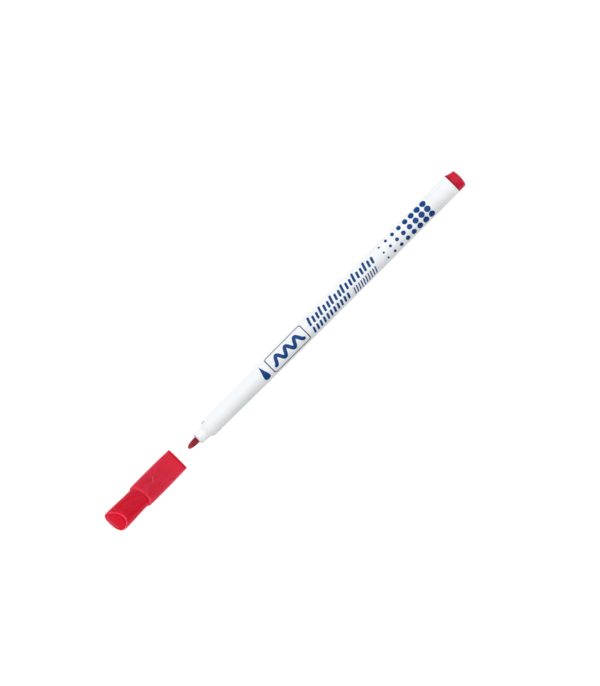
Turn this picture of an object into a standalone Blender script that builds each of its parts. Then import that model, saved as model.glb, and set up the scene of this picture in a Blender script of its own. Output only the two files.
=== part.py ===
"""Slim whiteboard marker with its cap pulled off and lying in line ahead of the nib.

The marker lies level along X: cap at -X, nib pointing at the cap, end plug at +X, +Z up.
The origin is under the middle of the whole length, at the height of the lowest point.
Every piece is turned about one axis, and only the cap's end is leaned over towards +Z.
Lengths here are in millimetres along the axis, counted from the tip of the nib.
"""

import math

import bmesh
import bpy

MM = 0.001
SEGMENTS = 32               # sides of every turned piece, with one flat side facing down

# Driving sizes of the whole marker.
PEN_LENGTH = 139.8          # tip of the nib to the end of the plug
BARREL_RADIUS = 4.0
CAP_LENGTH = 34.4           # mouth to the furthest point of the leaning end
CAP_GAP = 5.35              # from the cap's mouth to the tip of the nib, cap off
CAP_TRAVEL = 32.3           # how far the cap slides to sit home on the barrel
PLUG_HEAD = 4.05            # length of the plug outside the barrel

# Fits between neighbours.
END_GAP = 0.08              # between two faces that butt together along the axis
NIB_CLEARANCE = 0.07

# Front of the marker.
NIB_RADIUS = 1.2
NIB_DOME = 3.4              # length of the rounded part of the nib
NOSE_FRONT = 4.8
NOSE_RADIUS = 2.45
SHOULDER_START = 8.2
SHOULDER_END = 10.4
GRIP_RADIUS = 3.53          # barrel just behind the shoulder
NIB_SHAFT_END = 12.0
NIB_TAIL_RADIUS = 0.9
NIB_TAIL_END = 20.0

# Ink reservoir inside the barrel.
RESERVOIR_START = 14.5
RESERVOIR_END = 127.0
CORE_RADIUS = 2.45
FILM_THICKNESS = 0.12
BORE_FRONT_RADIUS = 2.78
BORE_REAR_RADIUS = 3.2

# Cap, in the same count along the axis. Its mouth is at -CAP_GAP.
CAP_MOUTH = -CAP_GAP
CAP_MOUTH_RADIUS = 4.67
CAP_RADIUS = 4.88           # of the skirt where it is widest
CAP_BORE_RADIUS = 3.85
CAP_STEP = CAP_MOUTH - 19.6         # end of the wide skirt, at mid height
CAP_RIM = CAP_MOUTH - 32.4          # crest of the end rim, at mid height
RIM_RADIUS = 4.1                    # of the crest, where the two lean terms below are measured
LEAN_SLOPE = 2.85                   # how far the upper rim stands ahead of mid height
LEAN_CURVE = 0.84                   # bow of the leaning end, seen from the side
LEAN_TURN = 13                      # degrees that the cap is turned, its face towards -Y
STEP_LEAN = 0.56                    # share of the lean that the step at the skirt's end has
SEAT_RADIUS = 3.15                  # bore that holds the seal, in the cap's narrow end
SEAT_START = SHOULDER_START + 1.0 - CAP_TRAVEL      # comes to rest over the shoulder
SEAT_END = CAP_MOUTH - 27.9
SEAT_TIP = CAP_MOUTH - 29.5
SEAL_WALL = 0.5

BARREL_REAR = PEN_LENGTH - PLUG_HEAD
TOTAL_LENGTH = PEN_LENGTH + CAP_GAP + CAP_LENGTH
TIP_X = TOTAL_LENGTH / 2 - PEN_LENGTH
AXIS_HEIGHT = CAP_RADIUS * math.cos(math.pi / SEGMENTS)


def plastic(name, color, roughness):
    """A plain glossy or satin plastic, or a fibre when it is rough."""
    material = bpy.data.materials.new(name)
    material.use_nodes = True
    shader = material.node_tree.nodes["Principled BSDF"]
    shader.inputs["Base Color"].default_value = (*color, 1.0)
    shader.inputs["Roughness"].default_value = roughness
    shader.inputs["Metallic"].default_value = 0.0
    material.diffuse_color = (*color, 1.0)
    return material


def lean(y, z):
    """Distance that a point of the cap's leaning end moves along the axis."""
    turn = math.radians(LEAN_TURN)
    height = (z * math.cos(turn) - y * math.sin(turn)) / RIM_RADIUS
    return LEAN_SLOPE * height + LEAN_CURVE * height ** 2


def arc(x_center, r_center, x_size, r_size, start, end, steps):
    """Points of an elliptical arc in the (x, radius) plane, angles in degrees."""
    points = []
    for step in range(steps + 1):
        angle = math.radians(start + (end - start) * step / steps)
        points.append((x_center + x_size * math.cos(angle), r_center + r_size * math.sin(angle)))
    return points


def turned(name, outline, material, parent, ring=False, shape=None):
    """A closed body spun about the X axis from its outline.

    The outline holds (x, radius) or (x, radius, share of the cap's lean). It starts and ends
    on the axis, or with ring=True it closes on itself and leaves a bore. shape is a function
    that moves a finished point, for the few features that aren't round.
    """
    mesh = bpy.data.meshes.new(name)
    bm = bmesh.new()
    share = bm.verts.layers.float.new("lean_share")
    half_side = math.pi / SEGMENTS
    corners = []
    for x, radius, *rest in outline:
        corner = bm.verts.new((x, radius * math.sin(half_side), radius * math.cos(half_side)))
        corner[share] = rest[0] if rest else 0.0
        corners.append(corner)
    pairs = list(zip(corners, corners[1:]))
    if ring:
        pairs.append((corners[-1], corners[0]))
    edges = [bm.edges.new(pair) for pair in pairs]
    bmesh.ops.spin(bm, geom=corners + edges, cent=(0, 0, 0), axis=(1, 0, 0),
                   angle=2 * math.pi, steps=SEGMENTS, use_merge=True)
    bmesh.ops.remove_doubles(bm, verts=bm.verts, dist=1e-4)
    for vert in bm.verts:
        vert.co.x += vert[share] * lean(vert.co.y, vert.co.z)
        if shape:
            shape(vert.co)
        vert.co *= MM
    bmesh.ops.recalc_face_normals(bm, faces=bm.faces)
    bm.verts.layers.float.remove(share)
    bm.to_mesh(mesh)
    bm.free()
    mesh.shade_smooth()
    mesh.set_sharp_from_angle(angle=math.radians(35))
    mesh.materials.append(material)
    piece = bpy.data.objects.new(name, mesh)
    bpy.context.collection.objects.link(piece)
    piece.parent = parent
    return piece


def axis_empty(name, x):
    """An empty on the marker's axis, x millimetres behind the tip of the nib."""
    empty = bpy.data.objects.new(name, None)
    empty.empty_display_size = 10 * MM
    empty.location = ((TIP_X + x) * MM, 0, AXIS_HEIGHT * MM)
    bpy.context.collection.objects.link(empty)
    return empty


def shoulder_points(steps):
    """The smooth S from the nose up to the grip, without its two ends."""
    points = []
    for step in range(1, steps):
        share = step / steps
        blend = share * share * (3 - 2 * share)
        x = SHOULDER_START + (SHOULDER_END - SHOULDER_START) * share
        points.append((x, NOSE_RADIUS + (GRIP_RADIUS - NOSE_RADIUS) * blend))
    return points


def make_barrel(parent, material):
    """White tube with the nose moulded on: snap bead, slow taper, open at the rear."""
    nib_bore = NIB_RADIUS + NIB_CLEARANCE
    outside = [(NOSE_FRONT, nib_bore), (NOSE_FRONT, 1.5), (5.2, 2.3), (5.45, NOSE_RADIUS),
               (SHOULDER_START, NOSE_RADIUS)]
    outside += shoulder_points(5)
    outside += [(SHOULDER_END, GRIP_RADIUS), (10.7, 3.6), (11.6, 3.6), (11.9, GRIP_RADIUS)]
    outside += [(18.0, 3.55), (29.0, 3.7), (46.0, 3.86), (65.0, BARREL_RADIUS),
                (100.0, BARREL_RADIUS), (BARREL_REAR - 0.2, 3.98), (BARREL_REAR, 3.85)]
    inside = [(BARREL_REAR, BORE_REAR_RADIUS + 0.1), (BARREL_REAR - 0.4, BORE_REAR_RADIUS),
              (RESERVOIR_END + 1.0, 3.16), (NIB_SHAFT_END + 1.8, BORE_FRONT_RADIUS),
              (NIB_SHAFT_END + 0.3, nib_bore)]
    return turned("barrel", outside + inside, material, parent, ring=True)


def make_nib(parent, material):
    """Pressed fibre nib: rounded bullet, straight shaft in the nose, thin tail in the ink."""
    outline = arc(NIB_DOME, 0.0, NIB_DOME, NIB_RADIUS, 180, 90, 8)
    outline[0] = (0.0, 0.0)
    outline += [(NIB_SHAFT_END, NIB_RADIUS), (NIB_SHAFT_END + 0.6, NIB_TAIL_RADIUS),
                (NIB_TAIL_END - 0.4, NIB_TAIL_RADIUS), (NIB_TAIL_END, 0.5), (NIB_TAIL_END, 0.0)]
    return turned("nib", outline, material, parent)


def make_reservoir_core(parent, material):
    """Ink-soaked fibre rod with a blind socket that the nib's tail is pushed into."""
    socket = NIB_TAIL_RADIUS + NIB_CLEARANCE
    socket_end = NIB_TAIL_END + END_GAP
    outline = [(socket_end, 0.0), (socket_end, socket), (RESERVOIR_START, socket),
               (RESERVOIR_START, CORE_RADIUS), (RESERVOIR_END, CORE_RADIUS), (RESERVOIR_END, 0.0)]
    return turned("reservoir_core", outline, material, parent)


def make_reservoir_film(parent, material):
    """Thin plastic sleeve around the fibre rod, open at both ends."""
    inner = CORE_RADIUS + 0.03
    outer = inner + FILM_THICKNESS
    start = RESERVOIR_START - 0.2
    end = RESERVOIR_END + 0.2
    outline = [(start, inner), (start, outer), (end, outer), (end, inner)]
    return turned("reservoir_film", outline, material, parent, ring=True)


def plug_side_flat(point):
    """Slanting flat on the +Y side of the plug's head."""
    if point.x > BARREL_REAR + END_GAP:
        depth = min((point.x - BARREL_REAR - END_GAP) / 1.6, 1.0)
        point.y = min(point.y, 3.95 - 0.75 * depth)


def make_end_plug(parent, material):
    """Red plug: hollow spigot with two press rings in the barrel, domed head outside."""
    head_start = BARREL_REAR + END_GAP
    spigot_start = BARREL_REAR - 7.5
    spigot = BORE_REAR_RADIUS - 0.2
    press_ring = BORE_REAR_RADIUS - 0.09
    hollow = 2.2
    outline = [(head_start - 1.0, 0.0), (head_start - 1.0, hollow), (spigot_start, hollow + 0.1),
               (spigot_start, spigot - 0.3), (spigot_start + 0.6, spigot)]
    for ring_x in (spigot_start + 2.5, spigot_start + 5.0):
        outline += [(ring_x - 0.3, spigot), (ring_x, press_ring), (ring_x + 0.3, spigot)]
    outline += [(head_start, spigot), (head_start, 3.75), (head_start + 0.15, 3.9),
                (head_start + 0.8, 3.92), (head_start + 1.6, 3.92)]
    outline += arc(PEN_LENGTH - 1.15, 2.95, 0.8, 0.97, 90, 25, 4)
    outline += [(PEN_LENGTH - 0.08, 2.2), (PEN_LENGTH, 1.5), (PEN_LENGTH, 0.0)]
    return turned("end_plug", outline, material, parent, shape=plug_side_flat)


def cap_outside():
    """Skirt, step, waisted end and leaning domed face, from the mouth to the axis."""
    skirt = [(CAP_MOUTH, CAP_MOUTH_RADIUS - 0.12, 0.0), (CAP_MOUTH - 0.15, CAP_MOUTH_RADIUS, 0.0),
             (CAP_MOUTH - 4.0, 4.78, 0.0), (CAP_MOUTH - 8.0, 4.86, 0.0),
             (CAP_MOUTH - 13.5, CAP_RADIUS, 0.2), (CAP_STEP + 0.35, 4.84, STEP_LEAN)]
    step = [(CAP_STEP, 4.76, STEP_LEAN), (CAP_STEP - 0.3, 4.48, STEP_LEAN),
            (CAP_STEP - 0.7, 4.3, 0.58), (CAP_STEP - 1.6, 4.24, 0.63)]
    waist = [(CAP_STEP - 4.0, 4.3, 0.76), (CAP_STEP - 7.0, 4.45, 0.88),
             (CAP_STEP - 10.0, 4.54, 0.96), (CAP_RIM + 0.9, 4.55, 1.0)]
    rim = [(CAP_RIM + 0.4, 4.5, 1.0), (CAP_RIM + 0.1, 4.34, 1.0), (CAP_RIM, RIM_RADIUS, 1.0),
           (CAP_RIM + 0.08, 3.86, 1.0), (CAP_RIM + 0.28, 3.72, 1.0)]
    face = [(CAP_RIM + 0.22, 3.4, 1.0), (CAP_RIM + 0.04, 2.2, 1.0), (CAP_RIM - 0.04, 1.1, 1.0),
            (CAP_RIM - 0.06, 0.0, 1.0)]
    return skirt + step + waist + rim + face


def make_cap_shell(parent, material):
    """Red cap: round skirt that covers the grip, and a narrower end that leans over."""
    inside = [(SEAT_TIP, 0.0), (SEAT_TIP, 1.6), (SEAT_END, SEAT_RADIUS), (SEAT_START, SEAT_RADIUS),
              (SEAT_START + 0.7, 3.75), (CAP_MOUTH - 0.3, CAP_BORE_RADIUS),
              (CAP_MOUTH, CAP_BORE_RADIUS + 0.2)]
    return turned("cap_shell", inside + cap_outside(), material, parent)


def make_cap_seal(parent, material):
    """Closed soft sleeve in the cap's end that shuts round the nose and keeps the nib wet."""
    outer = SEAT_RADIUS - 0.05
    inner = outer - SEAL_WALL
    mouth = SEAT_START - 0.5
    outline = [(SEAT_TIP + 0.8, 0.0), (SEAT_TIP + 0.8, 1.1), (SEAT_END + 0.6, inner),
               (mouth - 0.9, inner), (mouth, inner + 0.3), (mouth, outer), (SEAT_END + 0.1, outer),
               (SEAT_TIP + 0.12, 1.58), (SEAT_TIP + 0.12, 0.0)]
    return turned("cap_seal", outline, material, parent)


def build_marker():
    """All pieces, with the cap's two on an empty at the mouth of the cap."""
    for old in list(bpy.data.objects):
        bpy.data.objects.remove(old, do_unlink=True)
    white = plastic("barrel_white", (0.86, 0.87, 0.88), 0.35)
    cap_red = plastic("cap_red", (0.61, 0.026, 0.05), 0.4)
    plug_red = plastic("plug_red", (0.63, 0.02, 0.045), 0.35)
    nib_red = plastic("nib_fibre", (0.29, 0.02, 0.03), 0.85)
    ink_fibre = plastic("ink_fibre", (0.33, 0.015, 0.025), 0.9)
    clear_film = plastic("clear_film", (0.8, 0.78, 0.76), 0.3)
    natural = plastic("seal_natural", (0.82, 0.8, 0.76), 0.5)

    barrel_empty = axis_empty("barrel_axis", 0.0)
    make_barrel(barrel_empty, white)
    make_nib(barrel_empty, nib_red)
    make_reservoir_core(barrel_empty, ink_fibre)
    make_reservoir_film(barrel_empty, clear_film)
    make_end_plug(barrel_empty, plug_red)

    cap_empty = axis_empty("cap_slide_axis", 0.0)
    make_cap_shell(cap_empty, cap_red)
    make_cap_seal(cap_empty, natural)


build_marker()
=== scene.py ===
"""Looks of the slim whiteboard marker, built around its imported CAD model.

Lengths are in millimetres in the outlines, counted along the marker from the tip of the nib,
and become metres in the frame's coordinates when a mesh is made. The marker's axis is +X.
"""

import math

import bmesh
import bpy
import numpy as np
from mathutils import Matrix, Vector


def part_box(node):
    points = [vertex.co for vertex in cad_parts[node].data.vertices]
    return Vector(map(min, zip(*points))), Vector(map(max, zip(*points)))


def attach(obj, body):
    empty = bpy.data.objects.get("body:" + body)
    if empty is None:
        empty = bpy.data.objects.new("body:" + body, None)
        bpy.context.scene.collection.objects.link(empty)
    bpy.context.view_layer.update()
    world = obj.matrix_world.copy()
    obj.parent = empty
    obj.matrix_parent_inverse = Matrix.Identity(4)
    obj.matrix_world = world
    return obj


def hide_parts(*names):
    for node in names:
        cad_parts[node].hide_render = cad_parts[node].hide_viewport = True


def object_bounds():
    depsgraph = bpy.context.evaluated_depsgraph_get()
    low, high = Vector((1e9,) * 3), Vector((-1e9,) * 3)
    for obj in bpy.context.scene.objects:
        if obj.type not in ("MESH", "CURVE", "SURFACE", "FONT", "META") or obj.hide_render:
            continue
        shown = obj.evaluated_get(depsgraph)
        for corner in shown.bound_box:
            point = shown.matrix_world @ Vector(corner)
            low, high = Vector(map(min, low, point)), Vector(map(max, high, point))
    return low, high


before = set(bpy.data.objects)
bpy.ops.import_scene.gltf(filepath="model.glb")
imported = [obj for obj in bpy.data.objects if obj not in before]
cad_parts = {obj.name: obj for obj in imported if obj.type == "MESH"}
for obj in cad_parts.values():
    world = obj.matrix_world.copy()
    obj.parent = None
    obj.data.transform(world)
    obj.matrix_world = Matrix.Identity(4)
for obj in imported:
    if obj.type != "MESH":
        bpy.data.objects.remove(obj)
cad_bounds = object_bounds()

MM = 0.001
SIDES = 128                         # sides of every turned piece
CAD_SIDES = 32                      # sides of the CAD's turned pieces, one of them facing down

# ---------------------------------------------------------------- places read from the frame

nib_low, nib_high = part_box("nib")
barrel_low, barrel_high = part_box("barrel")
plug_low, plug_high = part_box("end_plug")
cap_low, cap_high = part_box("cap_shell")
seal_low, seal_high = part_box("cap_seal")

TIP = nib_low.x                                     # world X of the nib's tip
AXIS_Z = (barrel_low.z + barrel_high.z) / 2


def station(x):
    """A world X as millimetres behind the tip of the nib."""
    return (x - TIP) / MM


def round_radius(low, high):
    """Radius in millimetres of the circle that a CAD piece's flat sides are drawn in."""
    return (high.y - low.y) / 2 / MM / math.cos(math.pi / CAD_SIDES)


NOSE_FRONT = station(barrel_low.x)
BARREL_REAR = station(barrel_high.x)
BARREL_RADIUS = round_radius(barrel_low, barrel_high)
NIB_RADIUS = round_radius(nib_low, nib_high)
NIB_REAR = station(nib_high.x)
PLUG_REAR = station(plug_high.x)
PLUG_FRONT = station(plug_low.x)
CAP_MOUTH = station(cap_high.x)
CAP_FAR = station(cap_low.x)
CAP_RADIUS = round_radius(cap_low, cap_high)
SEAL_MOUTH = station(seal_high.x)
SEAL_TIP = station(seal_low.x)

# ---------------------------------------------------------------- shape helpers

FLAT_RUN = 0.06                     # a point this far past each rounding keeps the flats flat,
FLAT_RUN_LEAST = 0.02               # and on a small rounding at least this far


def rounded(points, steps=6):
    """An outline with its corners rounded. A point is (x, radius) or (x, radius, fillet)."""
    outline = []
    for index, point in enumerate(points):
        here = np.array(point[:2])
        fillet = point[2] if len(point) > 2 else 0.0
        if not fillet or index in (0, len(points) - 1):
            outline.append(tuple(here))
            continue
        before = np.array(points[index - 1][:2]) - here
        after = np.array(points[index + 1][:2]) - here
        before_length, after_length = np.linalg.norm(before), np.linalg.norm(after)
        before, after = before / before_length, after / after_length
        half = math.acos(np.clip(before @ after, -1, 1)) / 2
        reach = min(fillet / math.tan(half), 0.48 * before_length, 0.48 * after_length)
        start, end = here + before * reach, here + after * reach
        past = reach + min(FLAT_RUN, reach + FLAT_RUN_LEAST)
        outline.append(tuple(here + before * past))
        for share in np.linspace(0, 1, steps + 1):
            blend = (1 - share) ** 2 * start + 2 * share * (1 - share) * here + share ** 2 * end
            outline.append(tuple(blend))
        outline.append(tuple(here + after * past))
    return outline


def arc(center_x, center_r, size_x, size_r, start, end, steps):
    """Points of an elliptical arc in the (x, radius) plane, angles in degrees."""
    angles = np.radians(np.linspace(start, end, steps + 1))
    return [(center_x + size_x * math.cos(a), center_r + size_r * math.sin(a)) for a in angles]


def smooth_step(share):
    """0 to 1 over a share of 0 to 1, level at both ends."""
    return share * share * (3 - 2 * share)


def bump(value, middle, reach):
    """1 at the middle and 0 at reach or more from it, smooth between."""
    return smooth_step(max(0.0, 1 - abs(value - middle) / reach))


def spin(name, outline, ring=False, lean=None, sides=SIDES):
    """A closed mesh turned about the marker's axis.

    The outline starts and ends on the axis, or with ring=True closes on itself and leaves a
    bore. lean(index, x, y, z) gives how far a point moves along the axis, in millimetres.
    """
    verts, rings = [], []
    angles = np.linspace(0, 2 * math.pi, sides, endpoint=False)
    for index, (x, radius) in enumerate(outline):
        if radius < 1e-6:
            rings.append([len(verts)] * sides)
            shift = lean(index, x, 0.0, 0.0) if lean else 0.0
            verts.append((x + shift, 0.0, 0.0))
            continue
        first = len(verts)
        rings.append(list(range(first, first + sides)))
        for angle in angles:
            y, z = radius * math.sin(angle), radius * math.cos(angle)
            shift = lean(index, x, y, z) if lean else 0.0
            verts.append((x + shift, y, z))
    pairs = list(zip(rings, rings[1:]))
    if ring:
        pairs.append((rings[-1], rings[0]))
    faces = []
    for near, far in pairs:
        for side in range(sides):
            after = (side + 1) % sides
            corners = [near[side], near[after], far[after], far[side]]
            faces.append(tuple(dict.fromkeys(corners)))
    return make_object(name, verts, faces)


def make_object(name, verts, faces):
    """A smooth-shaded object with its mesh in the frame's metres and its faces pointing out."""
    mesh = bpy.data.meshes.new(name)
    placed = [(TIP + x * MM, y * MM, AXIS_Z + z * MM) for x, y, z in verts]
    mesh.from_pydata(placed, [], faces)
    bm = bmesh.new()
    bm.from_mesh(mesh)
    bmesh.ops.recalc_face_normals(bm, faces=bm.faces)
    bm.to_mesh(mesh)
    bm.free()
    mesh.shade_smooth()
    mesh.set_sharp_from_angle(angle=math.radians(50))
    piece = bpy.data.objects.new(name, mesh)
    bpy.context.collection.objects.link(piece)
    return piece


# ---------------------------------------------------------------- material helpers


def srgb(red, green, blue):
    """A colour given as 0 to 255 screen values, as the shader's linear RGBA."""
    channels = [value / 255 for value in (red, green, blue)]
    linear = [v / 12.92 if v <= 0.04045 else ((v + 0.055) / 1.055) ** 2.4 for v in channels]
    return (*linear, 1.0)


def math_node(tree, operation, first, second):
    """A Math node on sockets or plain numbers."""
    node = tree.nodes.new("ShaderNodeMath")
    node.operation = operation
    for slot, value in zip(node.inputs, (first, second)):
        if isinstance(value, (int, float)):
            slot.default_value = value
        else:
            tree.links.new(value, slot)
    return node.outputs["Value"]


class Surface:
    """A node material with short calls for what the pieces need."""

    def __init__(self, name, roughness=0.4, subsurface=0.0, radius=(1.0, 1.0, 1.0), scale=0.001):
        self.material = bpy.data.materials.new(name)
        self.material.use_nodes = True
        self.nodes = self.material.node_tree.nodes
        self.links = self.material.node_tree.links
        self.shader = self.nodes["Principled BSDF"]
        self.shader.inputs["Roughness"].default_value = roughness
        self.shader.inputs["Subsurface Weight"].default_value = subsurface
        self.shader.inputs["Subsurface Radius"].default_value = radius
        self.shader.inputs["Subsurface Scale"].default_value = scale
        self.place = self.nodes.new("ShaderNodeTexCoord").outputs["Object"]

    def value(self, socket, amount):
        """A number or colour that is the same all over the surface."""
        self.shader.inputs[socket].default_value = amount

    def noise(self, size, detail=3.0, stretch=(1, 1, 1)):
        """Noise whose grains are about size metres across, or longer where stretch is under 1."""
        mapping = self.nodes.new("ShaderNodeMapping")
        mapping.inputs["Scale"].default_value = stretch
        self.links.new(self.place, mapping.inputs["Vector"])
        texture = self.nodes.new("ShaderNodeTexNoise")
        texture.inputs["Scale"].default_value = 1 / size
        texture.inputs["Detail"].default_value = detail
        self.links.new(mapping.outputs["Vector"], texture.inputs["Vector"])
        return texture.outputs["Fac"]

    def ramp(self, factor, stops):
        """A colour ramp. stops are (position, RGBA)."""
        node = self.nodes.new("ShaderNodeValToRGB")
        elements = node.color_ramp.elements
        while len(elements) < len(stops):
            elements.new(0.5)
        for element, (position, color) in zip(elements, stops):
            element.position = position
            element.color = color
        self.links.new(factor, node.inputs["Fac"])
        return node.outputs["Color"]

    def mask(self, factor, low, high):
        """0 below low and 1 above high, smooth between; low may be above high."""
        node = self.nodes.new("ShaderNodeMapRange")
        node.interpolation_type = "SMOOTHSTEP"
        node.inputs["From Min"].default_value = low
        node.inputs["From Max"].default_value = high
        self.links.new(factor, node.inputs["Value"])
        return node.outputs["Result"]

    def band(self, factor, low, high, soft):
        """1 between low and high, 0 outside, with soft ends."""
        rise = self.mask(factor, low - soft, low)
        return self.product(rise, self.mask(factor, high + soft, high))

    def product(self, first, *others):
        """Factors multiplied together, each a socket or a plain number."""
        for other in others:
            first = math_node(self.material.node_tree, "MULTIPLY", first, other)
        return first

    def magnitude(self, value):
        """A number without its sign."""
        return math_node(self.material.node_tree, "ABSOLUTE", value, 0.0)

    def mix(self, factor, first, second):
        """Mixes two colours, each a socket or an RGBA."""
        node = self.nodes.new("ShaderNodeMix")
        node.data_type = "RGBA"
        self.links.new(factor, node.inputs["Factor"])
        for slot, value in ((node.inputs[6], first), (node.inputs[7], second)):
            if isinstance(value, tuple):
                slot.default_value = value
            else:
                self.links.new(value, slot)
        return node.outputs[2]

    def tint(self, body, color, *factors):
        """The body's colour, turned towards an srgb colour by the product of the factors."""
        return self.mix(self.product(*factors), body, srgb(*color))

    def split(self, vector):
        """The X, Y and Z of a vector."""
        node = self.nodes.new("ShaderNodeSeparateXYZ")
        self.links.new(vector, node.inputs["Vector"])
        return node.outputs

    def along(self):
        """Millimetres behind the tip of the nib, at rest."""
        x = self.split(self.place)["X"]
        return self.product(math_node(self.material.node_tree, "SUBTRACT", x, TIP), 1 / MM)

    def sideways(self):
        """Millimetres from the marker's middle plane towards +Y."""
        return self.product(self.split(self.place)["Y"], 1 / MM)

    def place_about(self, middle, turn):
        """Object coordinates in metres from a middle point, turned about +Z."""
        shifted = self.nodes.new("ShaderNodeVectorMath")
        shifted.operation = "SUBTRACT"
        shifted.inputs[1].default_value = middle
        self.links.new(self.place, shifted.inputs[0])
        turned = self.nodes.new("ShaderNodeMapping")
        turned.inputs["Rotation"].default_value = (0, 0, -turn)
        self.links.new(shifted.outputs["Vector"], turned.inputs["Vector"])
        return self.split(turned.outputs["Vector"])

    def attribute(self, name):
        """A number stored on the mesh's points."""
        node = self.nodes.new("ShaderNodeAttribute")
        node.attribute_name = name
        return node.outputs["Fac"]

    def color(self, socket):
        """The base colour, from a socket."""
        self.links.new(socket, self.shader.inputs["Base Color"])

    def rough(self, factor, low, high):
        """Roughness that follows a factor from low to high."""
        node = self.nodes.new("ShaderNodeMapRange")
        node.inputs["To Min"].default_value = low
        node.inputs["To Max"].default_value = high
        self.links.new(factor, node.inputs["Value"])
        self.links.new(node.outputs["Result"], self.shader.inputs["Roughness"])

    def bumps(self, *layers):
        """Bump layers, each (height socket, depth in metres, strength)."""
        normal = None
        for height, depth, strength in layers:
            node = self.nodes.new("ShaderNodeBump")
            node.inputs["Strength"].default_value = strength
            node.inputs["Distance"].default_value = depth
            self.links.new(height, node.inputs["Height"])
            if normal:
                self.links.new(normal, node.inputs["Normal"])
            normal = node.outputs["Normal"]
        self.links.new(normal, self.shader.inputs["Normal"])


# ---------------------------------------------------------------- materials

PLASTIC_IOR = 1.49                  # of polypropylene
RED_SCATTER = (1.0, 0.06, 0.08)     # how far light travels in the red plastic, by colour
RED_DEPTH = 0.004                   # metres that its red light travels

NEAR_FLANK, FAR_FLANK = (-2.6, -3.6), (2.4, 3.4)    # Y where the painted shade begins and where it is full
SHOULDER_SHADE_GREY = (140, 141, 142)

# Painted shade by the shoulder, grey patches on the flanks: flank, from, to, soft ends, strength.
SHOULDER_SHADES = [(NEAR_FLANK, 9.7, 10.2, 0.7, 0.8),
           (FAR_FLANK, 9.6, 10.8, 0.5, 1.0),
           (NEAR_FLANK, 12.1, 13.1, 0.5, 0.3)]

SCUFF_X, SCUFF_Y = -16.9, 1.3       # middle of the rub mark on the cap
SCUFF_TURN = math.radians(50)
SCUFF_LENGTH = 0.0013, 0.0008       # metres from its middle to where it ends and is full
SCUFF_WIDTH = 0.00016, 0.00003


def barrel_white():
    """White polypropylene, faintly cloudy, with ink at the nose, grey on the nose's -Y side, and
    painted shade on the shoulder's flanks.
    """
    s = Surface("barrel_white", subsurface=0.12, radius=(1.0, 0.95, 0.9), scale=0.0008)
    s.value("IOR", PLASTIC_IOR)
    s.value("Specular IOR Level", 0.25)
    cloud = s.noise(0.006, 2.0)
    body = s.ramp(cloud, [(0.3, srgb(233, 236, 238)), (0.7, srgb(237, 239, 241))])
    along = s.along()
    side = s.sideways()
    near_nib = s.mask(along, NOSE_FRONT + 0.9, NOSE_FRONT + 0.1)
    body = s.tint(body, (242, 150, 190), near_nib, s.mask(side, -1.2, 0.4), 0.6)
    # the nose's front is tinted grey on its -Y side
    body = s.tint(body, (128, 128, 128), near_nib, s.mask(side, -1.3, -1.9), 0.6)
    lip = s.mask(along, NOSE_FRONT + 0.05, NOSE_FRONT - 0.1)
    body = s.tint(body, (92, 14, 58), lip, s.band(side, -1.1, 1.1, 0.25), 0.9)
    patchy = s.mask(s.noise(0.0011, 4.0), 0.36, 0.56)
    # painted shade: grey patches on both flanks by the shoulder, broken up by noise
    for flank, low, high, soft, amount in SHOULDER_SHADES:
        stretch = s.band(along, low, high, soft)
        body = s.tint(body, SHOULDER_SHADE_GREY, s.mask(side, *flank), stretch, patchy, amount)
    s.color(body)
    s.rough(s.noise(0.0009, 4.0), 0.28, 0.42)
    streaks = s.noise(0.0004, 3.0, stretch=(0.04, 1, 1))
    s.bumps((s.noise(0.0003, 2.0), 0.000004, 0.25), (streaks, 0.000003, 0.2))
    return s.material


def print_blue(name="print_blue", deep=(5, 60, 120), light=(13, 72, 144)):
    """Pad-printed ink: a thin film with slightly uneven density."""
    s = Surface(name)
    s.value("Specular IOR Level", 0.15)
    density = s.noise(0.0005, 4.0)
    s.color(s.ramp(density, [(0.35, srgb(*deep)), (0.75, srgb(*light))]))
    s.rough(s.noise(0.0002, 3.0), 0.3, 0.45)
    s.bumps((s.noise(0.00015, 2.0), 0.000003, 0.3))
    return s.material


def scuff(s):
    """A short thin rub mark running aslant across the top of the cap's skirt."""
    place = s.place_about((TIP + SCUFF_X * MM, SCUFF_Y * MM, 0.0), SCUFF_TURN)
    lengthwise = s.mask(s.magnitude(place["X"]), *SCUFF_LENGTH)
    thin = s.mask(s.magnitude(place["Y"]), *SCUFF_WIDTH)
    on_top = s.mask(place["Z"], AXIS_Z, AXIS_Z + 0.001)
    return s.product(lengthwise, thin, on_top)


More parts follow.
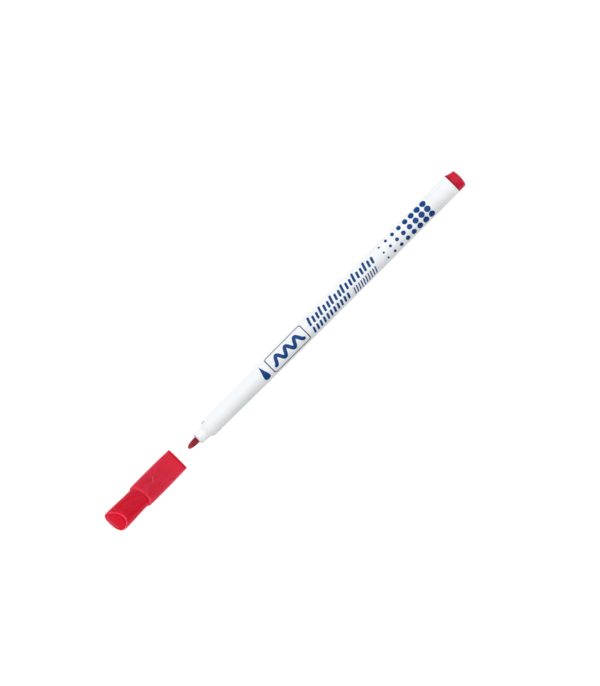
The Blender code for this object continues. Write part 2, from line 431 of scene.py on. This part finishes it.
def cap_red():
    """Red polypropylene: hazy skirt, waist darkened by painted shade, bright slanted face, painted
    shade in the groove, at the mouth and on the face's low end, painted highlight along the rim's
    crest and the step's edge.
    """
    s = Surface("cap_red", subsurface=1.0, radius=RED_SCATTER, scale=RED_DEPTH)
    s.value("IOR", PLASTIC_IOR)
    s.value("Specular IOR Level", 0.04)
    zone = s.attribute("zone")
    cloud = s.noise(0.004, 3.0)
    # one red plastic in three tones: the waist's deeper red is painted shade, the face is given a
    # brighter red
    skirt = s.ramp(cloud, [(0.3, srgb(196, 41, 64)), (0.7, srgb(202, 45, 68))])
    waist = s.ramp(cloud, [(0.3, srgb(191, 25, 47)), (0.7, srgb(198, 29, 51))])
    face = s.ramp(cloud, [(0.3, srgb(219, 14, 42)), (0.7, srgb(227, 18, 48))])
    body = s.mix(s.mask(zone, 0.0, 1.0), skirt, waist)
    body = s.mix(s.mask(zone, 1.0, 2.0), body, face)
    # painted shade: the slanted face's low end turned darker crimson
    low_end_shade = s.mask(s.along(), CAP_FAR + 4.0, CAP_FAR + 0.3)
    body = s.tint(body, (176, 0, 52), low_end_shade, 0.45)
    # painted shade: darker red in the groove inside the rim and at the mouth
    body = s.tint(body, (150, 8, 46), s.attribute("groove"), 0.85)
    body = s.tint(body, (246, 120, 136), scuff(s), 0.6)
    # painted highlight: paler red along the rim's crest and the step's edge
    s.color(s.tint(body, (250, 78, 100), s.attribute("edge"), 0.9))
    s.rough(s.mask(zone, 1.0, 0.0), 0.34, 0.5)
    grain = s.noise(0.00025, 3.0)
    streaks = s.noise(0.0005, 3.0, stretch=(0.05, 1, 1))
    s.bumps((grain, 0.000006, 0.35), (streaks, 0.000004, 0.25))
    return s.material


def plug_red():
    """Red polypropylene of the end plug, darker where it meets the tube, with painted shade on its
    end.
    """
    s = Surface("plug_red", subsurface=1.0, radius=RED_SCATTER, scale=RED_DEPTH)
    s.value("IOR", PLASTIC_IOR)
    s.value("Specular IOR Level", 0.1)
    cloud = s.noise(0.0018, 3.0)
    body = s.ramp(cloud, [(0.3, srgb(188, 28, 58)), (0.7, srgb(204, 34, 66))])
    along = s.along()
    body = s.tint(body, (140, 8, 46), s.mask(along, BARREL_REAR + 0.8, BARREL_REAR + 0.2), 0.75)
    # painted shade: the plug's end turned darker crimson
    s.color(s.tint(body, (150, 6, 50), s.mask(along, PLUG_REAR - 1.2, PLUG_REAR - 0.3), 0.4))
    s.rough(s.noise(0.0008, 4.0), 0.25, 0.4)
    s.bumps((s.noise(0.0003, 2.0), 0.000005, 0.3))
    return s.material


def nib_fibre():
    """Pressed fibre full of ink: long fine fibres, paler at the worn tip, dark at the nose."""
    s = Surface("nib_fibre")
    fibres = s.noise(0.00012, 4.0, stretch=(0.12, 1, 1))
    mottle = s.noise(0.0009, 3.0)
    body = s.ramp(mottle, [(0.38, srgb(102, 24, 22)), (0.5, srgb(140, 30, 40)),
                           (0.64, srgb(170, 46, 60))])
    along = s.along()
    body = s.tint(body, (204, 80, 88), s.mask(along, 2.6, 0.2), 0.5)
    body = s.tint(body, (92, 12, 24), s.mask(fibres, 0.45, 0.75))
    s.color(s.tint(body, (84, 10, 60), s.mask(along, NOSE_FRONT - 1.1, NOSE_FRONT - 0.1), 0.8))
    s.rough(fibres, 0.75, 0.95)
    s.value("Specular IOR Level", 0.25)
    s.value("Sheen Weight", 0.06)
    s.value("Sheen Roughness", 0.5)
    s.bumps((fibres, 0.00003, 0.6), (s.noise(0.00005, 2.0), 0.00001, 0.3))
    return s.material


def ink_fibre():
    """The reservoir's bundled fibres, soaked."""
    s = Surface("ink_fibre", roughness=0.9)
    fibres = s.noise(0.0001, 4.0, stretch=(0.02, 1, 1))
    s.color(s.ramp(fibres, [(0.3, srgb(110, 12, 24)), (0.7, srgb(172, 34, 48))]))
    s.bumps((fibres, 0.00003, 0.6))
    return s.material


def clear_film():
    """Thin milky film round the reservoir."""
    s = Surface("clear_film", roughness=0.25)
    wrinkles = s.noise(0.002, 3.0, stretch=(0.2, 1, 1))
    s.color(s.ramp(wrinkles, [(0.3, srgb(214, 206, 204)), (0.7, srgb(232, 226, 224))]))
    s.bumps((wrinkles, 0.00005, 0.4))
    return s.material


def seal_natural():
    """Soft natural polyethylene, faintly stained by ink."""
    s = Surface("seal_natural", roughness=0.5, subsurface=0.2, scale=0.0008)
    cloud = s.noise(0.0015, 3.0)
    s.color(s.ramp(cloud, [(0.3, srgb(222, 206, 200)), (0.7, srgb(236, 228, 222))]))
    s.bumps((s.noise(0.0003, 2.0), 0.000006, 0.3))
    return s.material


# ---------------------------------------------------------------- the barrel

NOSE_LIP = NOSE_FRONT - 0.33        # the thin lip of the nose's cone round the nib
NOSE_BORE = 1.27
NOSE_RADIUS = 2.55                  # at the foot of the shoulder
SHOULDER_START, SHOULDER_END = 8.05, 10.85
GRIP_RADIUS = 3.53                  # at both sides of the snap bead
BEAD_RADIUS = 3.58
TAPER_START = 12.3
TAPER = [(TAPER_START, GRIP_RADIUS), (18.0, 3.55), (29.0, 3.7), (46.0, 3.86), (65.0, BARREL_RADIUS),
         (100.0, BARREL_RADIUS), (BARREL_REAR - 0.3, BARREL_RADIUS - 0.02)]


def barrel_radius(x):
    """Radius of the barrel's outside behind the snap bead."""
    return float(np.interp(x, [p[0] for p in TAPER], [p[1] for p in TAPER]))


def shoulder(steps=16):
    """The smooth S from the nose up to the grip."""
    run, rise = SHOULDER_END - SHOULDER_START, GRIP_RADIUS - NOSE_RADIUS
    return [(SHOULDER_START + run * share, NOSE_RADIUS + rise * smooth_step(share))
            for share in np.linspace(0, 1, steps + 1)]


def make_barrel(white):
    """The tube with its nose cone, shoulder, snap bead and long taper, open at both ends."""
    front = rounded([(NOSE_FRONT + 0.5, NOSE_BORE), (NOSE_LIP, NOSE_BORE, 0.05),
                     (NOSE_LIP, 1.4, 0.05), (5.1, 2.3, 0.15), (5.4, 2.43, 0.2), (8.0, NOSE_RADIUS)])
    bead = rounded([(10.95, GRIP_RADIUS), (11.15, BEAD_RADIUS, 0.15), (11.8, BEAD_RADIUS, 0.15),
                    (12.1, GRIP_RADIUS)])
    taper = [(x, barrel_radius(x)) for x in np.linspace(TAPER_START, BARREL_REAR - 0.4, 60)]
    rear = rounded([(BARREL_REAR - 0.35, BARREL_RADIUS - 0.02), (BARREL_REAR, 3.97, 0.12),
                    (BARREL_REAR, 3.3, 0.1), (BARREL_REAR - 0.5, 3.2)])
    inside = [(128.0, 3.16), (13.8, 2.78), (12.3, NOSE_BORE)]
    outline = front + shoulder() + bead + taper + rear + inside
    piece = spin("barrel_tube", outline, ring=True)
    piece.data.materials.append(white)
    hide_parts("barrel")
    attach(piece, "barrel")


# ---------------------------------------------------------------- the print on the barrel

FILM = 0.018                        # how far the ink stands off the barrel
SPOT_END = 0.03                     # what is left of a spot's or the drop's width at its tips,
STROKE_END = 0.04                   # and of a stroke's, so that no face closes up


class Print:
    """Ink marks on the unrolled barrel: x along it, w millimetres round it from the top line.

    w grows towards -Y. Each mark is a closed film that follows the barrel's roundness.
    """

    def __init__(self):
        self.verts = []
        self.faces = []

    def wrap(self, x, w, lift):
        """The (x, y, z) of a point of the print, lifted off the barrel."""
        radius = barrel_radius(x)
        angle = w / radius
        radius += lift
        return (x, -radius * math.sin(angle), radius * math.cos(angle))

    def sheet(self, grid):
        """A closed film over a grid of (x, w) points, rows by columns."""
        rows, columns = len(grid), len(grid[0])
        first = len(self.verts)
        for lift in (FILM, -FILM / 2):
            self.verts += [self.wrap(x, w, lift) for row in grid for x, w in row]
        under = rows * columns

        def at(row, column, below=False):
            return first + row * columns + column + (under if below else 0)

        for row in range(rows - 1):
            for column in range(columns - 1):
                a, b = at(row, column), at(row, column + 1)
                c, d = at(row + 1, column + 1), at(row + 1, column)
                self.faces.append((a, b, c, d))
                self.faces.append((d + under, c + under, b + under, a + under))
        edge = [(0, c) for c in range(columns - 1)]
        edge += [(r, columns - 1) for r in range(rows - 1)]
        edge += [(rows - 1, c) for c in range(columns - 1, 0, -1)]
        edge += [(r, 0) for r in range(rows - 1, 0, -1)]
        for (r1, c1), (r2, c2) in zip(edge, edge[1:] + edge[:1]):
            self.faces.append((at(r1, c1, True), at(r2, c2, True), at(r2, c2), at(r1, c1)))

    def ribbon(self, path, widths, across=4):
        """A stroke along a path of (x, w) points, with a width at each point."""
        path = np.array(path, dtype=float)
        slope = np.gradient(path, axis=0)
        slope /= np.linalg.norm(slope, axis=1)[:, None]
        normal = np.column_stack((-slope[:, 1], slope[:, 0]))
        shares = np.linspace(-0.5, 0.5, across + 1)
        self.sheet([[tuple(p + n * width * share) for share in shares]
                    for p, n, width in zip(path, normal, widths)])

    def stroke(self, path, width, across=4):
        """A ribbon of even width with round ends."""
        path = np.array(path, dtype=float)
        lead = path[1] - path[0]
        lead /= np.linalg.norm(lead)
        trail = path[-1] - path[-2]
        trail /= np.linalg.norm(trail)
        turns = np.radians(np.linspace(-90, 0, 6)[:-1])
        head = [path[0] + lead * width / 2 * math.sin(turn) for turn in turns]
        tail = [path[-1] - trail * width / 2 * math.sin(turn) for turn in turns[::-1]]
        ends = [max(STROKE_END, math.cos(turn)) * width for turn in turns]
        self.ribbon(head + list(path) + tail, ends + [width] * len(path) + ends[::-1], across)

    def dot(self, x, w, diameter, tall=1.0, sides=32):
        """A round spot, or one stretched round the barrel by the factor tall."""
        turns = np.radians(np.linspace(-90, 90, sides // 2 + 1))
        path = [(x + diameter / 2 * math.sin(turn), w) for turn in turns]
        widths = [max(SPOT_END, math.cos(turn)) * diameter * tall for turn in turns]
        self.ribbon(path, widths, across=8)

    def piece(self, name, material):
        """All the marks so far as one object."""
        ink = make_object(name, self.verts, self.faces)
        ink.data.materials.append(material)
        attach(ink, "barrel")


def line(start, end, steps=10):
    """Evenly spaced points from start to end."""
    return [tuple(np.array(start) * (1 - t) + np.array(end) * t)
            for t in np.linspace(0, 1, steps + 1)]


PRINT_CENTER = 0.1                  # w of the middle of the print

DOT_COLUMNS = 8
DOT_FIRST = 100.5
DOT_PITCH = 3.2
DOT_SPREAD = 0.5                    # the middle columns sit this much further back
DOT_ROW_PITCH = 2.75
DOT_SMALL, DOT_LARGE = 0.85, 2.5    # diameters in the first and last column


def make_dots(blue):
    """Three rows of dots that swell towards the rear."""
    ink = Print()
    for column in range(DOT_COLUMNS):
        turn = math.pi * column / (DOT_COLUMNS - 1)
        x = DOT_FIRST + DOT_PITCH * column + DOT_SPREAD * math.sin(turn)
        diameter = DOT_SMALL + (DOT_LARGE - DOT_SMALL) * math.sin(turn / 2) ** 1.1
        for row in (-1, 0, 1):
            w = PRINT_CENTER + DOT_ROW_PITCH * row
            ink.dot(x, w, diameter, tall=1.1 if row else 0.95)
    ink.piece("print_dots", blue)


BOARD_START, BOARD_END = 42.0, 60.1     # the board pictogram along the barrel
BOARD_HALF = 3.6                    # half its height round the barrel
BOARD_CORNER = 0.9
BOARD_STROKE = 0.42
BOARD_STEP = 0.45                   # length of a stretch of the frame's straight sides
SCRIBBLE_WAVES = 3
SCRIBBLE_SWING = 1.45
SCRIBBLE_STROKE = 1.4
SCRIBBLE_GAP = 2.0                  # from the frame to the scribble's ends


def board_corners():
    """The frame's rounded outline as its corner arcs, one after the other."""
    left, right = BOARD_START + BOARD_CORNER, BOARD_END - BOARD_CORNER
    low, high = BOARD_CORNER - BOARD_HALF, BOARD_HALF - BOARD_CORNER
    path = []
    for x, w, start in ((right, low, -90), (right, high, 0), (left, high, 90), (left, low, 180)):
        path += arc(x, w + PRINT_CENTER, BOARD_CORNER, BOARD_CORNER, start, start + 90, 6)
    return path


def make_board(blue, grey):
    """A plain pictogram of a board: a rounded frame with one bold scribble in it."""
    frame_ink = Print()
    corners = board_corners()
    path = []
    for here, after in zip(corners, corners[1:] + corners[:1]):
        path += line(here, after, max(1, round(math.dist(here, after) / BOARD_STEP)))[:-1]
    frame_ink.stroke(path + path[:1], BOARD_STROKE, across=2)
    frame_ink.piece("print_board_frame", grey)

    scribble = Print()
    xs = np.linspace(BOARD_START + SCRIBBLE_GAP, BOARD_END - SCRIBBLE_GAP, 97)
    turns = np.linspace(0, 2 * math.pi * SCRIBBLE_WAVES, len(xs))
    ws = PRINT_CENTER + SCRIBBLE_SWING * np.cos(turns)
    scribble.stroke(list(zip(xs, ws)), SCRIBBLE_STROKE)
    scribble.piece("print_scribble", blue)


DROP_X = 38.8
DROP_HEIGHT = 6.6
DROP_SWELL = 4.356                  # the belly is about 0.6 of this wide


def make_drop(blue):
    """A small upright ink drop ahead of the board, its point on the side away from -Y."""
    ink = Print()
    shares = np.linspace(0, 1, 33)
    path = [(DROP_X, PRINT_CENTER + DROP_HEIGHT * (t - 0.5)) for t in shares]
    widths = [max(SPOT_END, DROP_SWELL * t ** 1.3 * math.sqrt(1 - t ** 5)) for t in shares]
    ink.ribbon(path, widths, across=8)
    ink.piece("print_drop", blue)


SLANT = 0.3                         # lean of the printed bars along the barrel

# Rows of bars: first x, pitch, count, stroke, heights that take turns, w of the bars' feet.
BAR_ROWS = [(63.6, 1.88, 18, 1.0, (2.7, 1.7, 1.7), -0.25),
            (63.0, 1.75, 11, 0.9, (1.75,), 3.075),
            (83.4, 1.2, 10, 0.48, (2.7,), 4.1)]


def make_bars(blue):
    """Two rows of slanted bars, plain decoration: bold above, bold then fine below."""
    ink = Print()
    for first, pitch, count, stroke, heights, foot in BAR_ROWS:
        w = PRINT_CENTER + foot
        for index in range(count):
            x, height = first + pitch * index, heights[index % len(heights)]
            reach = SLANT * height / 2
            ink.stroke(line((x + reach, w - height), (x - reach, w)), stroke, across=3)
    ink.piece("print_bars", blue)


# ---------------------------------------------------------------- nib, plug and insides


NIB_DOME = 3.9                      # length of the nib's rounded part
NIB_SWELL = NIB_RADIUS + 0.05       # fibre swells a little outside the nose
TAIL_RADIUS = 0.9


def make_nib(fibre):
    """A blunt bullet on a straight shaft, with a thin tail that reaches into the ink."""
    outline = []
    for angle in np.linspace(0, math.pi / 2, 41):
        share = math.cos(angle)
        radius = NIB_SWELL * max(0.0, 1 - share ** 1.6) ** 0.36
        outline.append((NIB_DOME * (1 - share), radius))
    outline += [(4.5, NIB_SWELL), (8.0, NIB_RADIUS), (12.0, NIB_RADIUS), (12.6, TAIL_RADIUS),
                (NIB_REAR - 0.4, TAIL_RADIUS), (NIB_REAR, 0.5), (NIB_REAR, 0.0)]
    piece = spin("nib_bullet", outline, sides=96)
    piece.data.materials.append(fibre)
    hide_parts("nib")
    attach(piece, "barrel")


HEAD_FRONT = BARREL_REAR + 0.04     # the plug's head, a hair behind the tube's end
HEAD_RADIUS = 3.92
SPIGOT_RADIUS = 3.0
RIB_RADIUS = 3.11                   # of the two ribs that grip the tube
RIB_PLACES = 2.5, 5.0               # behind the spigot's front
CUT_START, CUT_LENGTH = -0.25, 3.15     # the head's +Y side is cut away over this stretch
CUT_DEPTH = 0.92


def make_plug(red):
    """A domed head, cut slantwise on its +Y side, and a hollow spigot with two grip ribs."""
    outline = [(HEAD_FRONT - 1.0, 0.0)]
    spigot = [(HEAD_FRONT - 1.0, 1.5), (HEAD_FRONT - 1.0, 2.2, 0.3), (PLUG_FRONT, 2.3, 0.1),
              (PLUG_FRONT, 2.7, 0.1), (PLUG_FRONT + 0.6, SPIGOT_RADIUS, 0.2)]
    for place in RIB_PLACES:
        rib = PLUG_FRONT + place
        spigot += [(rib - 0.3, SPIGOT_RADIUS, 0.1), (rib, RIB_RADIUS, 0.1),
                   (rib + 0.3, SPIGOT_RADIUS, 0.1)]
    outline += rounded(spigot + [(HEAD_FRONT, SPIGOT_RADIUS, 0.05), (HEAD_FRONT, HEAD_RADIUS, 0.15),
                                 (HEAD_FRONT + 1.6, HEAD_RADIUS + 0.02)])
    outline += arc(PLUG_REAR - 1.25, 2.7, 0.85, 1.22, 88, 20, 14)
    outline += [(PLUG_REAR - 0.3, 2.65), (PLUG_REAR - 0.15, 2.0), (PLUG_REAR - 0.05, 1.3),
                (PLUG_REAR, 0.6), (PLUG_REAR, 0.0)]
    piece = spin("plug_moulding", outline)
    for vert in piece.data.vertices:
        behind = station(vert.co.x) - HEAD_FRONT
        if behind > 0:
            share = min((behind - CUT_START) / CUT_LENGTH, 1.0)
            limit = (HEAD_RADIUS - CUT_DEPTH * smooth_step(share)) * MM
            vert.co.y = min(vert.co.y, limit)
    piece.data.materials.append(red)
    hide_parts("end_plug")
    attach(piece, "barrel")


def finish_insides():
    """Sealed inner pieces keep their CAD shape and get their own materials."""
    for node, material in (("reservoir_core", ink_fibre()), ("reservoir_film", clear_film())):
        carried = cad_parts[node]
        carried.data.materials.clear()
        carried.data.materials.append(material)


# ---------------------------------------------------------------- the cap

RIM_RADIUS = 4.1                    # of the crest, where the two lean terms are measured
LEAN_SLOPE = 2.85
LEAN_CURVE = 0.84
LEAN_TURN = math.radians(13)        # the slanted face is turned from +Z towards -Y
LEAN_STATIONS = [(9.0, 0.0), (13.5, 0.2), (19.2, 0.56), (21.2, 0.63), (23.6, 0.76),
                 (26.6, 0.88), (29.6, 0.96), (31.5, 1.0)]
STEP = 19.6                         # from the mouth to the end of the wide skirt
RIM = 32.4                          # from the mouth to the crest of the end's rim
SKIRT = [(0.15, 4.67), (4.0, 4.78), (8.0, 4.86), (13.5, CAP_RADIUS), (19.2, 4.84)]
WAIST = [(21.2, 4.24), (23.6, 4.3), (26.6, 4.45), (29.6, 4.54), (31.4, 4.55)]
GROOVE_RADIUS = 3.76                # of the shallow groove inside the rim
FACE_RADIUS = 3.4                   # of the slanted face inside the groove
FACE_RISE = 0.12                    # how far its middle stands out
HOLLOW = 29.5                       # from the mouth to the closed end of the inside
SEAT_RADIUS = 3.15                  # inside, where the seal sits
BORE_RADIUS = 3.85                  # inside, round the barrel's front


def smooth_table(table, d):
    """A smooth curve through the table's (distance, radius) points."""
    xs, ys = (np.array(column) for column in zip(*table))
    slopes = np.gradient(ys, xs)
    k = int(np.clip(np.searchsorted(xs, d) - 1, 0, len(xs) - 2))
    span = xs[k + 1] - xs[k]
    u = (d - xs[k]) / span
    return float((1 + 2 * u) * (1 - u) ** 2 * ys[k] + u * (1 - u) ** 2 * span * slopes[k]
                 + u * u * (3 - 2 * u) * ys[k + 1] + u * u * (u - 1) * span * slopes[k + 1])


def cap_outside():
    """Outside of the cap from the mouth to the middle of its slanted face."""
    m = CAP_MOUTH
    skirt = rounded([(m, 4.2), (m, 4.66, 0.16), (m - 1.0, smooth_table(SKIRT, 1.0))])
    skirt += [(m - d, smooth_table(SKIRT, d)) for d in np.linspace(1.4, 18.4, 48)]
    step = rounded([(m - 18.6, 4.845), (m - STEP + 0.05, 4.82, 0.7), (m - STEP - 0.5, 4.3, 0.5),
                    (m - 21.2, 4.24)], steps=10)
    waist = [(m - d, smooth_table(WAIST, d)) for d in np.linspace(21.35, 31.35, 44)]
    crest = m - RIM
    rim = arc(crest + 0.45, RIM_RADIUS, 0.45, 0.45, 80, 180, 12)
    rim += arc(crest + 0.2, RIM_RADIUS - 0.02, 0.2, 0.28, 180, 245, 8)[1:]
    groove = rounded([rim[-1], (crest + 0.22, GROOVE_RADIUS, 0.08),
                      (crest + FACE_RISE, FACE_RADIUS)])[1:]
    face = [(crest + FACE_RISE * (r / FACE_RADIUS) ** 2, r) for r in np.linspace(3.3, 0.0, 22)]
    return skirt + step + waist + rim + groove + face


def cap_inside():
    """Inside of the cap from its closed end to the mouth."""
    m = CAP_MOUTH
    hollow = rounded([(m - HOLLOW, 1.0), (m - HOLLOW, 1.6, 0.3), (m - 27.9, SEAT_RADIUS, 0.3),
                      (m - 17.75, SEAT_RADIUS, 0.1), (m - 17.05, BORE_RADIUS - 0.1, 0.2),
                      (m - 0.35, BORE_RADIUS, 0.1), (m, 4.05, 0.1), (m, 4.2)])
    return [(m - HOLLOW, 0.0)] + hollow[:-1]


def make_cap(red):
    """The cap, turned round and then leaned: the further from its mouth, the more it slants."""
    inside = cap_inside()
    first_outside = len(inside)
    station_d, station_share = zip(*LEAN_STATIONS)

    def lean(index, x, y, z):
        if index < first_outside:
            return 0.0
        share = float(np.interp(CAP_MOUTH - x, station_d, station_share))
        height = (z * math.cos(LEAN_TURN) - y * math.sin(LEAN_TURN)) / RIM_RADIUS
        return share * (LEAN_SLOPE * height + LEAN_CURVE * height * height)

    outline = inside + cap_outside()
    piece = spin("cap_moulding", outline, lean=lean)
    store_zones(piece, outline, first_outside)
    piece.data.materials.append(red)
    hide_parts("cap_shell")
    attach(piece, "cap")


def outside_marks(behind, radius, high_side):
    """Zone (0 skirt, 1 waist, 2 slanted face), painted highlight on the crest and step, and painted
    shade in the groove and at the mouth round the outside.
    """
    if behind > RIM - 1.2:
        zone = 2.0 if radius < 3.9 else 1.0
        # painted highlight on the rim's crest, shown on its high side only
        edge = bump(radius, RIM_RADIUS + 0.05, 0.42) * high_side
        # painted shade in the groove inside the rim, on its high side
        groove = bump(radius, 3.68, 0.2) * high_side
        return zone, edge, groove
    even = np.ones(SIDES)
    zone = float(np.clip((behind - STEP) / 0.5, 0, 1))
    # painted highlight on the step's rounded edge, painted shade at the mouth
    return zone, 0.45 * bump(behind, STEP - 0.05, 0.6) * even, bump(behind, 0.0, 0.8) * even


def store_zones(piece, outline, first_outside):
    """Stores the outside's marks on the cap's points, painted highlight and painted shade among
    them. The rim's fade out on its low side.
    """
    angles = np.linspace(0, 2 * math.pi, SIDES, endpoint=False)
    high_side = np.clip(0.7 + np.cos(angles + LEAN_TURN), 0, 1)
    plain = 0.0, np.zeros(SIDES), np.zeros(SIDES)
    zones, edge_highlights, groove_shades = [], [], []
    for index, (x, radius) in enumerate(outline):
        outside = index >= first_outside
        zone, edge, groove = outside_marks(CAP_MOUTH - x, radius, high_side) if outside else plain
        copies = 1 if radius < 1e-6 else SIDES
        zones += [zone] * copies
        edge_highlights += list(edge[:copies])
        groove_shades += list(groove[:copies])
    for name, values in (("zone", zones), ("edge", edge_highlights), ("groove", groove_shades)):
        piece.data.attributes.new(name, "FLOAT", "POINT").data.foreach_set("value", values)


SEAL_OUTER, SEAL_INNER = 3.1, 2.6
SEAL_FLOOR = 0.68                   # thickness of its closed end


def make_seal(natural):
    """A closed sleeve with a flared mouth."""
    bottom = SEAL_TIP + SEAL_FLOOR
    outline = [(bottom, 0.0)]
    outline += rounded([(bottom, 0.6), (bottom, 1.1, 0.3), (CAP_MOUTH - 27.3, SEAL_INNER, 0.4),
                        (SEAL_MOUTH - 0.9, SEAL_INNER, 0.2), (SEAL_MOUTH, SEAL_INNER + 0.3, 0.08),
                        (SEAL_MOUTH, SEAL_OUTER, 0.08), (CAP_MOUTH - 27.8, SEAL_OUTER, 0.3),
                        (SEAL_TIP, 1.58, 0.3), (SEAL_TIP, 0.8)])
    outline.append((SEAL_TIP, 0.0))
    piece = spin("seal_sleeve", outline, sides=96)
    piece.data.materials.append(natural)
    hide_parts("cap_seal")
    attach(piece, "cap")


# ---------------------------------------------------------------- camera, floor and light

VIEW_HEIGHT = 249.4                 # millimetres of the scene from the bottom to the top
LENS = 300.0
SENSOR = 36.0                       # along the picture's long side, its height
ROLL = -45.11                       # the marker runs from lower left to upper right
AIM_X, AIM_Y = 55.8, -1.73          # picture's middle, from the nib's tip


def make_camera():
    """Straight above the marker, far off, with the marker aslant in the picture."""
    data = bpy.data.cameras.new("camera")
    data.lens = LENS
    data.sensor_width = SENSOR
    data.sensor_fit = "AUTO"
    data.clip_end = 20.0
    camera = bpy.data.objects.new("camera", data)
    distance = VIEW_HEIGHT * LENS / SENSOR
    camera.location = (TIP + AIM_X * MM, AIM_Y * MM, AXIS_Z + distance * MM)
    camera.rotation_euler = (0, 0, math.radians(ROLL))
    bpy.context.collection.objects.link(camera)
    bpy.context.scene.camera = camera


FLOOR_SIZE = 10.0                   # metres from the middle to an edge
FLOOR_GLOW = 0.85                   # the floor is a light table
FLOOR_ALBEDO = 0.25

SKY_TILT = math.radians(15)         # of the brightest place, from the zenith towards +Y
SKY_LEVEL = 2.72                    # radiance there
SKY_FALL = 3.1                      # power of the cosine that it falls off with
HORIZON = 0.06                      # sine of the height below which the sky is plain white

FILL_DISTANCE = 0.5                 # metres from the piece to its fill light
FILL_HEIGHT = math.radians(25)      # above the floor
FILL_SIZE = 0.012                   # radius of the lamp
FILL_BLEND = 0.6                    # share of the cone that is soft edge
CAP_CONE, CAP_POWER = math.radians(7.2), 3.4
PLUG_CONE, PLUG_POWER = math.radians(1.5), 6.0


def make_floor():
    """A wide pale floor under the marker that glows a little."""
    low, _ = cad_bounds
    mesh = bpy.data.meshes.new("floor")
    corners = [(-1, -1), (1, -1), (1, 1), (-1, 1)]
    mesh.from_pydata([(x * FLOOR_SIZE, y * FLOOR_SIZE, low.z) for x, y in corners], [],
                     [(0, 1, 2, 3)])
    floor = bpy.data.objects.new("floor", mesh)
    bpy.context.collection.objects.link(floor)
    s = Surface("floor_white", roughness=0.9)
    s.value("Base Color", (FLOOR_ALBEDO, FLOOR_ALBEDO, FLOOR_ALBEDO, 1.0))
    s.value("Specular IOR Level", 0.0)
    s.value("Emission Color", (1.0, 1.0, 1.0, 1.0))
    s.value("Emission Strength", FLOOR_GLOW)
    floor.data.materials.append(s.material)


def make_sky():
    """One broad soft light overhead, a little towards +Y, over a pale horizon."""
    world = bpy.data.worlds.new("studio")
    world.use_nodes = True
    tree = world.node_tree
    nodes, links = tree.nodes, tree.links
    direction = nodes.new("ShaderNodeTexCoord").outputs["Generated"]
    facing = nodes.new("ShaderNodeVectorMath")
    facing.operation = "DOT_PRODUCT"
    facing.inputs[1].default_value = (0.0, math.sin(SKY_TILT), math.cos(SKY_TILT))
    links.new(direction, facing.inputs[0])
    split = nodes.new("ShaderNodeSeparateXYZ")
    links.new(direction, split.inputs["Vector"])
    above = math_node(tree, "MAXIMUM", facing.outputs["Value"], 0.0)
    lobe = math_node(tree, "MULTIPLY", math_node(tree, "POWER", above, SKY_FALL), SKY_LEVEL)
    horizon = math_node(tree, "LESS_THAN", split.outputs["Z"], HORIZON)
    links.new(math_node(tree, "MAXIMUM", lobe, horizon), nodes["Background"].inputs["Strength"])
    nodes["Background"].inputs["Color"].default_value = (1.0, 1.0, 1.0, 1.0)
    bpy.context.scene.world = world


def make_fill(name, target, cone, power):
    """A soft spot from the -Y side that opens up a red piece's shaded flank."""
    data = bpy.data.lights.new(name, "SPOT")
    data.energy = power
    data.spot_size = cone
    data.spot_blend = FILL_BLEND
    data.shadow_soft_size = FILL_SIZE
    spot = bpy.data.objects.new(name, data)
    direction = Vector((0.0, -math.cos(FILL_HEIGHT), math.sin(FILL_HEIGHT)))
    spot.location = target + direction * FILL_DISTANCE
    spot.rotation_euler = direction.to_track_quat("Z", "Y").to_euler()
    spot.visible_camera = False
    spot.visible_glossy = False
    bpy.context.collection.objects.link(spot)


def make_light():
    """The sky, and a weak fill light for each red piece."""
    make_sky()
    make_fill("cap_fill", (cap_low + cap_high) / 2, CAP_CONE, CAP_POWER)
    make_fill("plug_fill", Vector((plug_high.x + 0.001, 0.0, AXIS_Z)), PLUG_CONE, PLUG_POWER)
    bpy.context.scene.view_settings.view_transform = "Standard"


def main():
    make_camera()
    make_floor()
    make_light()
    blue = print_blue()
    grey = print_blue("print_grey_blue", (52, 58, 94), (72, 78, 114))
    make_barrel(barrel_white())
    make_dots(blue)
    make_board(blue, grey)
    make_drop(blue)
    make_bars(blue)
    make_nib(nib_fibre())
    make_plug(plug_red())
    make_cap(cap_red())
    make_seal(seal_natural())
    finish_insides()


main()
